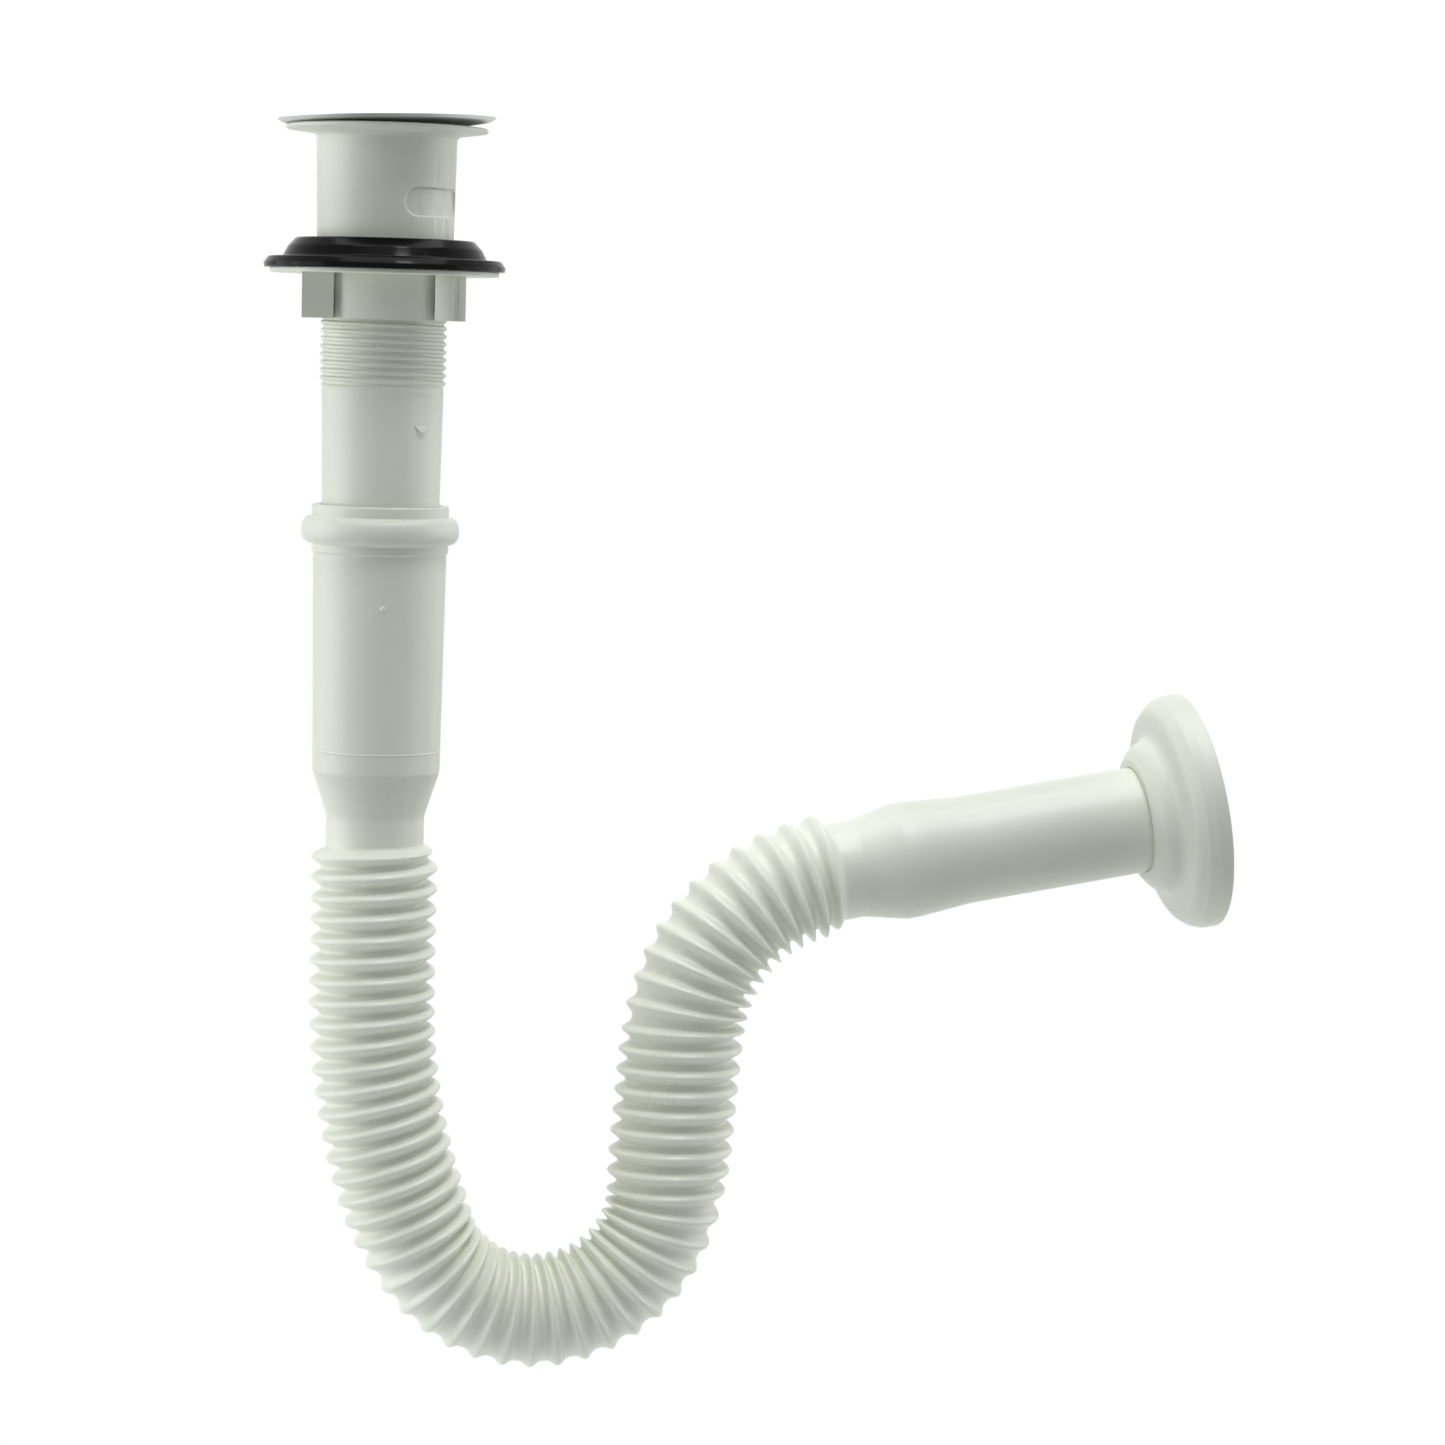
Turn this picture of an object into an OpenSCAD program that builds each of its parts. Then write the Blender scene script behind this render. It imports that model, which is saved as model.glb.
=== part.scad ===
// Flexible basin trap: a basin waste with its dish, gasket and back nut, a push-on
// corrugated hose bent into the water seal, and a wall flange on the outlet.
// +Z is up, the waste stands on the Z axis and the outlet leaves towards +X.
// The origin is on the waste axis, at the underside of the waste's own flange.

/* [Waste body] */
// Diameter of the flange that sits on the basin
flange_d = 64.4; // [62:0.5:72]
// Thickness of that flange at its edge
flange_t = 2.6; // [2:0.1:3.4]
// Diameter of the body just under the flange
body_top_d = 44.7; // [44.2:0.1:45.2]
// Diameter of the body where the thread starts
body_low_d = 43.4; // [42.6:0.1:44]
// Length of the plain body
body_len = 36; // [34:1:44]
// Wall of the plain body
body_wall = 2.4; // [1.6:0.1:3]
// Outside diameter of the thread
thread_d = 40.3; // [38.6:0.1:41]
// Distance between two thread ridges
thread_pitch = 2.5; // [2:0.1:3.2]
// Depth of the thread
thread_depth = 0.95; // [0.6:0.05:1.2]
// Length of the threaded stretch
thread_len = 45; // [40:1:56]
// Diameter of the tail just under the thread
tail_top_d = 39; // [38.2:0.1:39.4]
// Diameter of the straight end of the tail
tail_d = 37.7; // [35:0.1:38]
// Length of the tail's taper
taper_len = 36; // [30:1:45]
// Length of the straight end of the tail
tail_len = 48; // [40:1:60]
// Wall of the tail
tail_wall = 2.05; // [1.6:0.05:3]

/* [Overflow panels] */
// Length of a closed overflow panel round the body
panel_w = 28; // [16:0.5:30]
// Height of a panel
panel_h = 9.7; // [7:0.1:12]
// Depth of a panel
panel_depth = 0.9; // [0.4:0.1:1.2]
// Distance of a panel's centre under the flange
panel_drop = 21.5; // [16:0.5:24]
// Direction of the first panel, from the front towards the outlet
panel_angle = 45; // [0:1:90]

/* [Dish] */
// Diameter of the dish's rim
dish_d = 69.6; // [66:0.2:76]
// Diameter of the dish's bowl
bowl_d = 36; // [32:0.2:37]
// Depth of the bowl under the flange's underside
bowl_depth = 5; // [3:0.5:8]
// Sheet thickness of the dish
sheet_t = 0.8; // [0.6:0.1:1.2]
// Height of the dish's rim over the flange's underside
rim_h = 4.6; // [4:0.1:8]
// Number of drain slots in the bowl's floor
slot_count = 8; // [5:1:10]
// Width of a drain slot
slot_w = 2.8; // [2:0.1:3.2]
// Tilt of the dish on the flange, with the outlet side lifted
dish_tilt = 1.8; // [0:0.1:2]

/* [Centre screw] */
// Thread diameter of the screw
screw_d = 6; // [5:0.5:7]
// Diameter of the screw's head
screw_head_d = 12; // [10:0.5:13]
// Length of the screw under its head
screw_len = 26; // [20:1:30]
// Diameter of the threaded insert
insert_d = 8.6; // [8:0.1:9.4]
// Height of the threaded insert
insert_h = 10; // [8:0.5:12]
// Thickness of the cross bars that hold it
bar_t = 2.6; // [2:0.1:4]

/* [Gasket, washer and nut] */
// Diameter of the gasket's brim
brim_d = 77; // [72:0.5:84]
// Thickness of the brim
brim_t = 3.6; // [3:0.1:5]
// Diameter of the gasket's cone at its top
cone_top_d = 56.5; // [53:0.5:60]
// Diameter of the cone where it meets the brim
cone_base_d = 63.7; // [61:0.1:68]
// Height of the whole gasket
gasket_h = 9.7; // [8:0.1:12]
// Distance of the gasket's top under the flange: the basin's thickness
basin_t = 33; // [31:0.5:36]
// Diameter of the friction washer
washer_d = 73; // [66:0.5:78]
// Thickness of the friction washer
washer_t = 1.5; // [1:0.1:2]
// Outer diameter of the back nut's barrel
nut_d = 45; // [44:0.1:48]
// Width over the back nut's wings
wing_span = 51.6; // [50:0.2:60]
// Width between the wings' inner sides
wing_gap = 31.8; // [28:0.2:36]
// Length of a wing's side
wing_w = 38; // [36:0.5:40]
// Height of the back nut
nut_h = 14.2; // [10:0.1:16]
// How far the wings are turned from the front
wing_angle = -6.4; // [-90:0.1:90]

/* [Cuff] */
// Diameter of the ring at the cuff's mouth
mouth_d = 43.9; // [42.6:0.1:46]
// Diameter of the rounded bead that holds the lip seal
bead_d = 50.6; // [48:0.1:54]
// Height of the bead
bead_h = 8; // [7:0.1:10]
// Diameter of the sleeve under the bead
sleeve_top_d = 42.8; // [42.2:0.1:44]
// Diameter of the sleeve at its lower end
sleeve_low_d = 41; // [40.8:0.1:42]
// Length of the sleeve
sleeve_len = 70; // [60:1:80]
// Bore of the sleeve
sleeve_bore = 38.6; // [38.4:0.1:39]
// Length of the cone between the sleeve and the neck
cone_len = 14.6; // [10:0.1:20]
// Diameter of the neck over the hose
neck_d = 31.6; // [28:0.1:33]
// Length of the neck over the hose
neck_len = 11.2; // [6:0.1:14]
// Depth of the tail's push into the cuff
push_depth = 45; // [38:1:46]

/* [Hose] */
// Diameter over the hose's ridges
ridge_d = 40.8; // [39:0.1:43]
// The same on the bend that holds the water, where the ridges spread
bend_ridge_d = 37.6; // [36:0.1:41]
// Diameter between the ridges
root_d = 34; // [32:0.1:35]
// Wall of the hose
hose_wall = 1.3; // [0.8:0.1:1.6]
// Distance between two ridges along the hose's middle
pitch = 6.8; // [6:0.1:8]
// Ridges on the straight leg under the neck
leg_ridges = 7; // [5:1:12]
// Ridges on the wide sweep after it
sweep_ridges = 12; // [8:1:14]
// Radius of the wide sweep
sweep_r = 208.6; // [180:0.2:260]
// Ridges on the bend that holds the water, from the sweep to the stretch that flexes
trap_in_ridges = 5; // [4:1:6]
// Ridges on the stretch that flexes
flex_ridges = 7; // [6:1:9]
// Ridges on the rest of that bend
trap_out_ridges = 5; // [4:1:6]
// Radius of that bend
trap_r = 43.2; // [40:0.2:60]
// Ridges on the rising leg
riser_ridges = 8; // [5:1:12]
// Ridges on the bend over the rising leg
top_ridges = 11; // [9:1:12]
// Radius of the bend over the rising leg
top_r = 56.4; // [48:0.2:70]

/* [Outlet] */
// Length of the plain end of the hose before its neck
out_hose_len = 4; // [2:0.5:8]
// Diameter of the neck at the outlet
out_neck_d = 32.2; // [28:0.1:33]
// Length of that neck
out_neck_len = 7; // [5:0.1:12]
// Diameter of the bulge on the outlet
bulge_d = 38.6; // [36.6:0.1:41]
// Length of the cone up to the bulge
flare_len = 14; // [8:0.5:18]
// Length of the bulge
bulge_len = 4.6; // [3:0.1:8]
// Length of the taper after the bulge
bulge_taper = 17.8; // [10:0.1:24]
// Diameter of the outlet pipe
pipe_d = 35.6; // [32.4:0.1:36]
// Length of the straight outlet pipe
pipe_len = 86.5; // [60:0.5:110]
// Diameter of the pipe's end, which goes into the drain
spigot_d = 35; // [32:0.1:35.2]
// Length of that end
spigot_len = 15; // [10:0.5:20]
// Wall of the outlet pipe
pipe_wall = 1.9; // [1.4:0.1:2.4]

/* [Wall flange] */
// Diameter of the wall flange
rosette_d = 79.2; // [72:0.2:90]
// Depth of the wall flange
rosette_h = 20.4; // [20:0.1:26]
// Wall of the wall flange
rosette_wall = 1.6; // [1:0.1:2]
// Distance of the wall plane from the pipe's end
pipe_stub = 5; // [3:0.5:20]

/* [Clearances] */
// Gap round a piece that runs on another
running = 0.08; // [0.02:0.01:0.1]
// Gap between pieces that only come near
apart = 0.35; // [0.3:0.05:0.6]
// Gap round the gasket's bore
gasket_gap = 0.75; // [0.6:0.05:0.9]
// Gap between two stretches of the hose
seam = 0.01; // [0.01:0.01:0.05]

/* [Hidden] */
$fn = 96;

plastic = [0.87, 0.87, 0.83];
steel = [0.72, 0.73, 0.74];
brass = [0.78, 0.62, 0.3];
rubber = [0.08, 0.08, 0.09];

flange_r = flange_d / 2;
body_top_r = body_top_d / 2;
body_low_r = body_low_d / 2;
body_bore_r = body_low_r - body_wall;
shoulder_top_z = -body_len + 5;
shoulder_low_z = -body_len - 1;
bevel = 0.6;
past = 1;
thread_r = thread_d / 2;
root_r = thread_r - thread_depth;
thread_core_r = root_r - 0.5;
tail_r = tail_d / 2;
tail_bore_r = tail_r - tail_wall;
thread_z = -body_len;
tail_z = thread_z - thread_len;
straight_z = tail_z - taper_len;
tail_end_z = straight_z - tail_len;
thread_turns = floor(thread_len / thread_pitch);
thread_flank = thread_pitch * 0.35;
thread_crest = thread_pitch * 0.15;

bowl_r = bowl_d / 2;
seat_r = bowl_r + 3;
seat_z = -1;
seal_t = 1.2;
bowl_floor_z = -bowl_depth;
boss_r = insert_d / 2 + 2.4;
boss_drop = 4;
lean_r = flange_r - 2;
dish_lift = lean_r * sin(dish_tilt);
dish_fold_z = 1.1 + apart;
dish_lip_z = rim_h - 1.9;
insert_top_z = bowl_floor_z - sheet_t - boss_drop;
boss_h = insert_h + bar_t;
bars_h = 7;
bar_reach = body_bore_r + 0.5;

gasket_z = -basin_t;
washer_z = gasket_z - gasket_h;
nut_z = washer_z - washer_t;
gasket_bore_r = body_low_r + gasket_gap;

cuff_z = tail_end_z + push_depth;
mouth_h = 2.6;
step_h = 2.6;
step_r = sleeve_top_d / 2 + 0.9;
bead_z = cuff_z - mouth_h;
seal_z = bead_z - bead_h / 2;
sleeve_z = bead_z - bead_h - step_h;
cone_z = sleeve_z - sleeve_len;
neck_z = cone_z - cone_len;
hose_z = neck_z - neck_len;
sleeve_bore_r = sleeve_bore / 2;
neck_r = neck_d / 2;
seal_groove = 2.6;

ridge_r = ridge_d / 2;
hose_r = root_d / 2;
hose_bore_r = hose_r - hose_wall;
neck_bore_r = neck_r - hose_wall;
crest_w = pitch * 0.32;
ridge_w = pitch * 0.68;
ridge_root = hose_wall / 2;

// The hose's stretches in order, each as [number of ridges, radius, side]. Side is 0 on
// a straight stretch, 1 on a turn to the left and -1 on a turn to the right.
STRETCHES = [
    [leg_ridges, 0, 0],
    [sweep_ridges, sweep_r, 1],
    [trap_in_ridges, trap_r, 1],
    [flex_ridges, trap_r, 1],
    [trap_out_ridges, trap_r, 1],
    [riser_ridges, 0, 0],
    [top_ridges, top_r, -1]
];
leg = 0;
sweep = 1;
trap_in = 2;
trap_flex = 3;
trap_out = 4;
riser = 5;
top = 6;

// A place on the hose is [x, z, heading]; the heading is counted from +X towards +Z.
function forward(place, way) = [
    place[0] + way * cos(place[2]),
    place[1] + way * sin(place[2]),
    place[2]
];
function turned(place, r, side, way) = let (heading = place[2] + side * way / r * 180 / PI) [
    place[0] + side * r * (sin(heading) - sin(place[2])),
    place[1] - side * r * (cos(heading) - cos(place[2])),
    heading
];
// The place that lies a number of ridges along a stretch.
function along(i, ridges) = let (stretch = STRETCHES[i]) stretch[2] == 0
    ? forward(start_of(i), ridges * pitch)
    : turned(start_of(i), stretch[1], stretch[2], ridges * pitch);
function start_of(i) = i == 0 ? [0, hose_z, -90] : along(i - 1, STRETCHES[i - 1][0]);

outlet_place = along(top, top_ridges);

out_neck_r = out_neck_d / 2;
out_neck_bore_r = out_neck_r - hose_wall;
neck_end = out_hose_len + out_neck_len;
flare_end = neck_end + flare_len;
bulge_end = flare_end + bulge_len;
taper_end = bulge_end + bulge_taper;
pipe_end = taper_end + pipe_len;
bulge_r = bulge_d / 2;
pipe_r = pipe_d / 2;
pipe_bore_r = pipe_r - pipe_wall;
spigot_r = spigot_d / 2;
spigot_start = pipe_end - spigot_len;
wall_plane = pipe_end - pipe_stub;
rosette_r = rosette_d / 2;

module at_place(place) {
    translate([place[0], 0, place[1]]) rotate([0, 90 - place[2], 0]) children();
}

// A ring turned from [radius, height] points.
module ring(points) {
    rotate_extrude() polygon(points);
}

module tube(outer_r, inner_r, h) {
    difference() {
        cylinder(r = outer_r, h = h);
        translate([0, 0, -past]) cylinder(r = inner_r, h = h + 2 * past);
    }
}

module slot_outline(w, h) {
    square([w - h, h], center = true);
    for (side = [-1, 1]) translate([side * (w - h) / 2, 0]) circle(d = h);
}

// ---- basin waste ----

module thread_outline() {
    polygon([
        [thread_core_r - 0.1, thread_z],
        for (i = [0:thread_turns - 1]) let (z = thread_z - i * thread_pitch) each [
            [root_r, z],
            [thread_r, z - thread_flank],
            [thread_r, z - thread_flank - thread_crest],
            [root_r, z - 2 * thread_flank - thread_crest]
        ],
        [root_r, tail_z],
        [thread_core_r - 0.1, tail_z]
    ]);
}

module body_outline() {
    polygon([
        [body_bore_r, shoulder_top_z],
        [body_bore_r, seat_z],
        [seat_r, seat_z],
        [seat_r, seat_z + seal_t],
        [flange_r - 2.2, flange_t],
        [flange_r - bevel, flange_t],
        [flange_r, flange_t - bevel],
        [flange_r, 0.4],
        [flange_r - 0.4, 0],
        [body_top_r + 0.8, 0],
        [body_top_r, -0.8],
        [body_low_r, thread_z + bevel],
        [body_low_r - bevel, thread_z],
        [thread_core_r, thread_z],
        [thread_core_r, tail_z],
        [tail_top_d / 2, tail_z],
        [tail_r, straight_z],
        [tail_r, tail_end_z + 1.2],
        [tail_r - 0.8, tail_end_z],
        [tail_bore_r, tail_end_z],
        [tail_bore_r, shoulder_low_z]
    ]);
}

module panel_recess(angle) {
    rotate([0, 0, angle]) intersection() {
        translate([0, 0, -panel_drop]) rotate([90, 0, 0])
            linear_extrude(height = body_top_r + past) slot_outline(panel_w, panel_h);
        translate([0, 0, -body_len])
            tube(body_top_r + past, body_low_r - panel_depth, body_len);
    }
}

module screw_boss() {
    boss_z = insert_top_z - boss_h;
    difference() {
        union() {
            translate([0, 0, boss_z]) cylinder(r = boss_r, h = boss_h);
            for (angle = [0, 90]) rotate([0, 0, angle])
                translate([-bar_reach, -bar_t / 2, boss_z])
                    cube([2 * bar_reach, bar_t, bars_h]);
        }
        translate([0, 0, insert_top_z - insert_h]) cylinder(d = insert_d, h = insert_h + past);
        translate([0, 0, boss_z - past]) cylinder(r = screw_d / 2 + apart, h = boss_h);
    }
}

module waste_body() {
    color(plastic) {
        difference() {
            rotate_extrude() {
                body_outline();
                thread_outline();
            }
            for (half = [0, 180]) panel_recess(panel_angle + half);
        }
        screw_boss();
    }
}

module dish_shell() {
    wall_r = bowl_r - sheet_t;
    ring([
        [screw_d / 2 + apart, bowl_floor_z],
        [bowl_r - 1, bowl_floor_z],
        [bowl_r, bowl_floor_z + 1],
        [bowl_r, 0.4],
        [bowl_r + 1.4, dish_fold_z],
        [lean_r, dish_lip_z],
        [dish_d / 2 - 0.3, rim_h - 0.5],
        [dish_d / 2, rim_h - 0.1],
        [dish_d / 2 - 0.6, rim_h],
        [lean_r - 0.6, dish_lip_z + sheet_t],
        [bowl_r + 0.8, dish_fold_z + sheet_t],
        [wall_r, 0.6 + sheet_t],
        [wall_r, bowl_floor_z + 1 + sheet_t],
        [wall_r - 0.7, bowl_floor_z + sheet_t],
        [screw_d / 2 + apart, bowl_floor_z + sheet_t]
    ]);
}

module dish_slots() {
    inner = screw_head_d / 2 + 1;
    outer = bowl_r - 2.6;
    for (i = [0:slot_count - 1]) rotate([0, 0, (i + 0.5) * 360 / slot_count])
        translate([(inner + outer) / 2, 0, bowl_floor_z - past])
            linear_extrude(height = sheet_t + 2 * past) slot_outline(outer - inner, slot_w);
}

// The dish and what it carries lean about the foot of the flange's inlet side.
module leaning() {
    translate([-lean_r, 0, flange_t]) rotate([0, -dish_tilt, 0])
        translate([lean_r, 0, -flange_t]) children();
}

module strainer_dish() {
    color(steel) leaning() difference() {
        dish_shell();
        dish_slots();
    }
}

module dish_seal() {
    color(rubber) ring([
        [bowl_r + apart, seat_z],
        [seat_r - apart, seat_z],
        [seat_r - apart, seat_z + seal_t],
        [bowl_r + apart, seat_z + seal_t]
    ]);
}

module centre_screw() {
    head_r = screw_head_d / 2;
    shank_r = screw_d / 2 - running;
    head_z = bowl_floor_z + sheet_t + dish_lift + head_r * sin(dish_tilt) + running;
    slot_t = 1.6;
    color(steel) difference() {
        ring([
            [0, head_z + 3],
            [head_r - 2.4, head_z + 2.8],
            [head_r - 0.8, head_z + 2],
            [head_r, head_z + 0.9],
            [head_r, head_z],
            [shank_r, head_z],
            [shank_r, head_z - screw_len + 1],
            [shank_r - 0.9, head_z - screw_len],
            [0, head_z - screw_len]
        ]);
        translate([-screw_head_d, -slot_t / 2, head_z + 1.6])
            cube([2 * screw_head_d, slot_t, 3]);
    }
}

module threaded_insert() {
    color(brass) translate([0, 0, insert_top_z - insert_h])
        tube(insert_d / 2 - running, screw_d / 2, insert_h);
}

module gasket() {
    brim_z = washer_z + brim_t;
    color(rubber) ring([
        [gasket_bore_r, washer_z],
        [brim_d / 2 - 0.9, washer_z],
        [brim_d / 2, washer_z + 0.9],
        [brim_d / 2, brim_z - 1.1],
        [brim_d / 2 - 1.1, brim_z],
        [cone_base_d / 2 + 1, brim_z],
        [cone_base_d / 2, brim_z + 1],
        [cone_top_d / 2, gasket_z - 1],
        [cone_top_d / 2 - 1.2, gasket_z],
        [gasket_bore_r, gasket_z]
    ]);
}

module friction_washer() {
    color(plastic) translate([0, 0, nut_z])
        tube(washer_d / 2, thread_r + apart, washer_t);
}

// A wing starts inside the barrel's wall, and its leading corner is cut back to a slope.
module nut_wing(root_r) {
    inner = wing_gap / 2;
    reach = wing_span / 2;
    half = wing_w / 2;
    difference() {
        linear_extrude(height = nut_h) polygon([
            [inner, -half],
            [reach, reach - inner - half],
            [reach, half],
            [inner, half]
        ]);
        translate([0, 0, -past]) cylinder(r = root_r, h = nut_h + 2 * past);
    }
}

module back_nut() {
    bore_r = thread_r + running;
    color(plastic) translate([0, 0, nut_z - nut_h]) rotate([0, 0, wing_angle]) {
        // the barrel's seam is a quarter turn from the wings
        rotate([0, 0, 90]) tube(nut_d / 2, bore_r, nut_h);
        for (side = [0, 180]) rotate([0, 0, side]) nut_wing((bore_r + nut_d / 2) / 2);
    }
}

// ---- hose moulding ----

module lip_seal() {
    color(rubber) ring([
        [tail_r + running, seal_z - 1.6],
        [sleeve_bore_r + 0.4, seal_z - seal_groove],
        [sleeve_bore_r + seal_groove - apart, seal_z - seal_groove],
        [sleeve_bore_r + seal_groove - apart, seal_z + seal_groove],
        [sleeve_bore_r + 0.4, seal_z + seal_groove],
        [tail_r + running, seal_z + 1.2]
    ]);
}

module cuff() {
    mouth_r = mouth_d / 2;
    bead_r = bead_d / 2;
    bead_round = 3;
    groove_r = sleeve_bore_r + seal_groove;
    groove_h = seal_groove + running;
    color(plastic) ring([
        [sleeve_bore_r, cuff_z],
        [mouth_r - 0.6, cuff_z],
        [mouth_r, cuff_z - 0.6],
        [mouth_r, bead_z],
        for (a = [70:-20:-70])
            [bead_r - bead_round + bead_round * cos(a), seal_z + bead_h / 2 * sin(a)],
        [step_r, bead_z - bead_h - 0.2],
        [step_r, sleeve_z + 0.8],
        [sleeve_top_d / 2, sleeve_z],
        [sleeve_low_d / 2, cone_z],
        [neck_r, neck_z],
        [neck_r, hose_z],
        [neck_bore_r, hose_z],
        [neck_bore_r, neck_z],
        [sleeve_bore_r, cone_z],
        [sleeve_bore_r, seal_z - groove_h],
        [groove_r, seal_z - groove_h],
        [groove_r, seal_z + groove_h],
        [sleeve_bore_r, seal_z + groove_h]
    ]);
}

module hose_section() {
    difference() {
        circle(r = hose_r);
        circle(r = hose_bore_r);
    }
}

module hose_core(stretch, gap) {
    way = stretch[0] * pitch - gap;
    r = stretch[1];
    if (stretch[2] == 0) linear_extrude(height = way) hose_section();
    else mirror([stretch[2] < 0 ? 1 : 0, 0, 0]) translate([-r, 0, 0]) rotate([90, 0, 0])
        rotate_extrude(angle = way / r * 180 / PI) translate([r, 0]) hose_section();
}

// A ridge's flanks run on into the hose's wall, so they cross its surface at an angle. On
// a turn the ridges are narrower, to stand side by side where the hose's inner side is short.
module ridge(r, share) {
    foot_w = ridge_w * share;
    top_w = crest_w * share;
    foot = (foot_w + (foot_w - top_w) * ridge_root / (r - hose_r)) / 2;
    ring([
        [hose_r - ridge_root, -foot],
        [r, -top_w / 2],
        [r, top_w / 2],
        [hose_r - ridge_root, foot]
    ]);
}

module hose_stretch(i, gap = seam) {
    turn_r = STRETCHES[i][1];
    r = turn_r == trap_r ? bend_ridge_d / 2 : ridge_r;
    share = STRETCHES[i][2] == 0 ? 1 : (turn_r - hose_r) / turn_r;
    color(plastic) {
        at_place(start_of(i)) hose_core(STRETCHES[i], gap);
        for (k = [1:STRETCHES[i][0]]) at_place(along(i, k - 0.5)) ridge(r, share);
    }
}

module hose_leg() {
    hose_stretch(leg, 0);
    hose_stretch(sweep);
}

module outlet_pipe() {
    color(plastic) at_place(outlet_place) ring([
        [hose_r, 0],
        [hose_r, out_hose_len - 0.8],
        [out_neck_r, out_hose_len],
        [out_neck_r, neck_end],
        [bulge_r - 0.8, flare_end - 2],
        [bulge_r, flare_end],
        [bulge_r, bulge_end],
        [pipe_r, taper_end],
        [pipe_r, spigot_start - 0.6],
        [spigot_r, spigot_start],
        [spigot_r, pipe_end - 0.8],
        [spigot_r - 0.8, pipe_end],
        [pipe_bore_r, pipe_end],
        [pipe_bore_r, flare_end],
        [out_neck_bore_r, neck_end],
        [out_neck_bore_r, out_hose_len],
        [hose_bore_r, out_hose_len - 0.8],
        [hose_bore_r, 0]
    ]);
}

// The wall flange's outline holds its distance from the wall and its radius. Its
// inside follows the same outline, one wall further in.
module wall_flange() {
    bore_r = pipe_r + running;
    rim = rosette_r;
    h = rosette_h;
    w = rosette_wall;
    color(plastic) at_place(forward(outlet_place, wall_plane)) mirror([0, 0, 1]) ring([
        [bore_r, h],
        [bore_r + 0.4, h],
        [bore_r + 3.4, h - 1],
        [bore_r + 6.6, h - 3.3],
        [bore_r + 8.6, h - 6.4],
        [rim - 9.5, h - 8.7],
        [rim - 6, 11.6],
        [rim - 3, 9.7],
        [rim - 1.2, 7.3],
        [rim - 0.1, 4.1],
        [rim, 0],
        [rim - w, 0],
        [rim - w - 0.1, 4.1],
        [rim - w - 1.1, 6.6],
        [rim - w - 2.6, 8.4],
        [rim - 6.4, 11.6 - w],
        [rim - 9.9, h - 8.9 - w],
        [bore_r + 8.2 - w, h - 7.6 - w],
        [bore_r + w, h - 7 - w],
        [bore_r, h - 7 - w]
    ]);
}

strainer_dish();
dish_seal();
centre_screw();
threaded_insert();
waste_body();
gasket();
friction_washer();
back_nut();
lip_seal();
cuff();
hose_leg();
hose_stretch(trap_in);  // trap_bend_inlet
hose_stretch(trap_flex);  // trap_bend_flex
hose_stretch(trap_out);  // trap_bend_outlet
hose_stretch(riser);  // rising_leg
hose_stretch(top);  // top_bend
outlet_pipe();
wall_flange();
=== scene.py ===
from math import cos, pi, radians, sin, tan

import bpy
from mathutils import Matrix, Vector


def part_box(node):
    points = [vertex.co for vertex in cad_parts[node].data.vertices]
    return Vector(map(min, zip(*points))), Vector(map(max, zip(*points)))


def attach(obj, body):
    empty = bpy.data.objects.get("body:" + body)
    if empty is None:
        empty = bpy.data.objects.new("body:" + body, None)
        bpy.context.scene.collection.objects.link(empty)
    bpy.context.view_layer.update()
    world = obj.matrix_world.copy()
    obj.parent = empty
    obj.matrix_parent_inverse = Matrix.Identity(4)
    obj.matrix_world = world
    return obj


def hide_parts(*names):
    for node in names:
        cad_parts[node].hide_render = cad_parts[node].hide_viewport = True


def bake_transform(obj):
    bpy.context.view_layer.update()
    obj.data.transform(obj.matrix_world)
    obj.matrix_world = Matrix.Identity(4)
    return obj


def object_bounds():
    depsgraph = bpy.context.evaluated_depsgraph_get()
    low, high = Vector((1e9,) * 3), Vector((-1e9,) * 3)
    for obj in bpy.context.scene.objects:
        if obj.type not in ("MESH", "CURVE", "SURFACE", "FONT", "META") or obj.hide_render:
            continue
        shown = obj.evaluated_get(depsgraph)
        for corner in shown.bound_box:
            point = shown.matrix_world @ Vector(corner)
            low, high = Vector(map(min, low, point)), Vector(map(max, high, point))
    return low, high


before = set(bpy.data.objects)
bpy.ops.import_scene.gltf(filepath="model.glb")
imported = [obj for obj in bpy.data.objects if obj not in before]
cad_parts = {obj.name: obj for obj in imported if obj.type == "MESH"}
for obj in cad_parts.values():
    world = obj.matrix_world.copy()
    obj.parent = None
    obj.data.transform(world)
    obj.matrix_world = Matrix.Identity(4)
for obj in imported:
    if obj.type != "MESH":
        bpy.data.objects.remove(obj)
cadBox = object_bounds()
mm = 0.001  # sizes are in millimetres, and the studio's places are in metres


class Sock:
    # wraps one output of a node, so shader maths reads as plain arithmetic
    def __init__(self, tree, out):
        self.tree = tree
        self.out = out

    def maths(self, kind, *others):
        values = {0: self, **dict(enumerate(others, 1))}
        return Sheet(self.tree).add("ShaderNodeMath", {"operation": kind}, values)

    def __add__(self, other):
        return self.maths("ADD", other)

    def __sub__(self, other):
        return self.maths("SUBTRACT", other)

    def __mul__(self, other):
        return self.maths("MULTIPLY", other)

    def __truediv__(self, other):
        return self.maths("DIVIDE", other)

    def __rsub__(self, other):
        return Sheet(self.tree).add("ShaderNodeMath", {"operation": "SUBTRACT"}, {0: other, 1: self})

    def __rtruediv__(self, other):
        return Sheet(self.tree).add("ShaderNodeMath", {"operation": "DIVIDE"}, {0: other, 1: self})

    __radd__ = __add__
    __rmul__ = __mul__

    def clamp(self):
        result = self.maths("ADD", 0.0)
        result.out.node.use_clamp = True
        return result


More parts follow.
